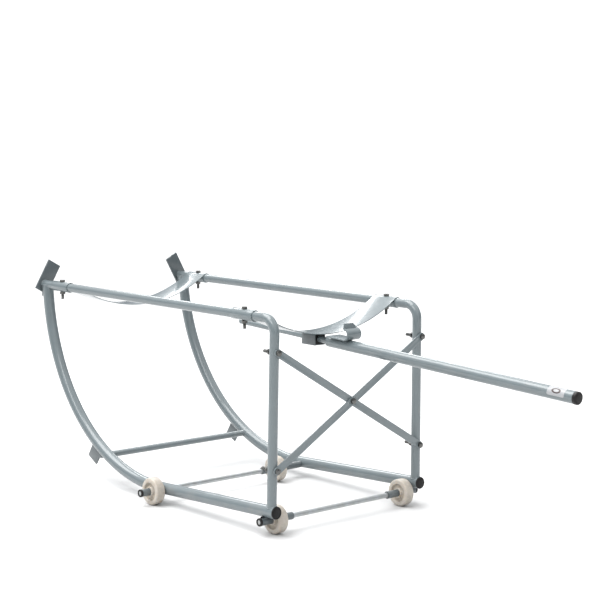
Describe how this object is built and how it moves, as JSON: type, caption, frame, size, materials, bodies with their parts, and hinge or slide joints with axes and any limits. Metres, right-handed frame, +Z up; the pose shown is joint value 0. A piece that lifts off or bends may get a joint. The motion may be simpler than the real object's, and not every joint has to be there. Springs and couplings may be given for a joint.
{
  "type": "drum dolly",
  "caption": "Tubular rocker cradle on small nylon wheels that tips, rolls and holds a steel drum on two curved saddles, with a drawn-out tilting handle.",
  "frame": {"origin": "on the floor, midway between the two axles and between the two side frames", "axes": "+X towards the handle's free end, +Y towards the right-hand side frame, +Z up"},
  "size_m": [1.7037, 0.5809, 0.586],
  "materials": {
    "enamel": "light grey-blue stove enamel, satin to gloss",
    "dark_enamel": "darker grey-blue enamel, satin",
    "zinc": "zinc plated",
    "axle_steel": "bright drawn rod",
    "black_plastic": "moulded black plastic",
    "nylon": "natural cream nylon, softly translucent",
    "bronze": "sintered bronze, dull"
  },
  "bodies": {
    "cradle_frame": {"left_rocker_tube": "enamel", "right_rocker_tube": "enamel", "left_rear_leg": "enamel", "right_rear_leg": "enamel", "left_top_rail": "enamel", "right_top_rail": "enamel", "left_corner_stub": "enamel", "right_corner_stub": "enamel", "front_saddle": "enamel", "rear_saddle": "enamel", "front_cross_bar": "enamel", "inner_brace": "enamel", "outer_brace": "enamel", "left_toe_plate": "dark_enamel", "right_toe_plate": "dark_enamel", "left_foot_tab": "dark_enamel", "right_foot_tab": "dark_enamel", "front_axle_sleeves": "dark_enamel", "rear_axle_sleeves": "dark_enamel", "handle_socket": "dark_enamel", "saddle_bolts": "zinc", "saddle_nuts": "zinc", "brace_bolts": "zinc", "brace_nuts": "zinc", "brace_washers": "zinc", "brace_spacers": "zinc", "brace_center_bolt": "zinc", "brace_center_nut": "zinc", "front_axle": "axle_steel", "rear_axle": "axle_steel", "front_axle_caps": "black_plastic", "rear_axle_caps": "black_plastic", "axle_set_screws": "black_plastic", "left_tube_cap": "black_plastic", "right_tube_cap": "black_plastic", "socket_guide": "black_plastic"},
    "handle": {"handle_tube": "enamel", "handle_spigot": "enamel", "handle_reducer": "enamel", "handle_end_plug": "black_plastic", "chime_hook": "enamel"},
    "left_front_wheel_body": {"left_front_wheel": "nylon", "left_front_bush": "bronze"},
    "right_front_wheel_body": {"right_front_wheel": "nylon", "right_front_bush": "bronze"},
    "left_rear_wheel_body": {"left_rear_wheel": "nylon", "left_rear_bush": "bronze"},
    "right_rear_wheel_body": {"right_rear_wheel": "nylon", "right_rear_bush": "bronze"}
  },
  "joints": [
    {"name": "left_front_wheel_spin", "type": "hinge", "parent": "cradle_frame", "child": "left_front_wheel_body", "pos_m": [-0.2045, -0.2715, 0.03475], "axis": [0, 1, 0], "continuous": true},
    {"name": "right_front_wheel_spin", "type": "hinge", "parent": "cradle_frame", "child": "right_front_wheel_body", "pos_m": [-0.2045, 0.1385, 0.03475], "axis": [0, 1, 0], "continuous": true},
    {"name": "left_rear_wheel_spin", "type": "hinge", "parent": "cradle_frame", "child": "left_rear_wheel_body", "pos_m": [0.2045, -0.211, 0.03475], "axis": [0, 1, 0], "continuous": true},
    {"name": "right_rear_wheel_spin", "type": "hinge", "parent": "cradle_frame", "child": "right_rear_wheel_body", "pos_m": [0.2045, 0.211, 0.03475], "axis": [0, 1, 0], "continuous": true},
    {"name": "handle_slide", "type": "slide", "parent": "cradle_frame", "child": "handle", "axis": [0.9989, 0, -0.0459], "range_m": [-0.01, 0.25]}
  ]
}
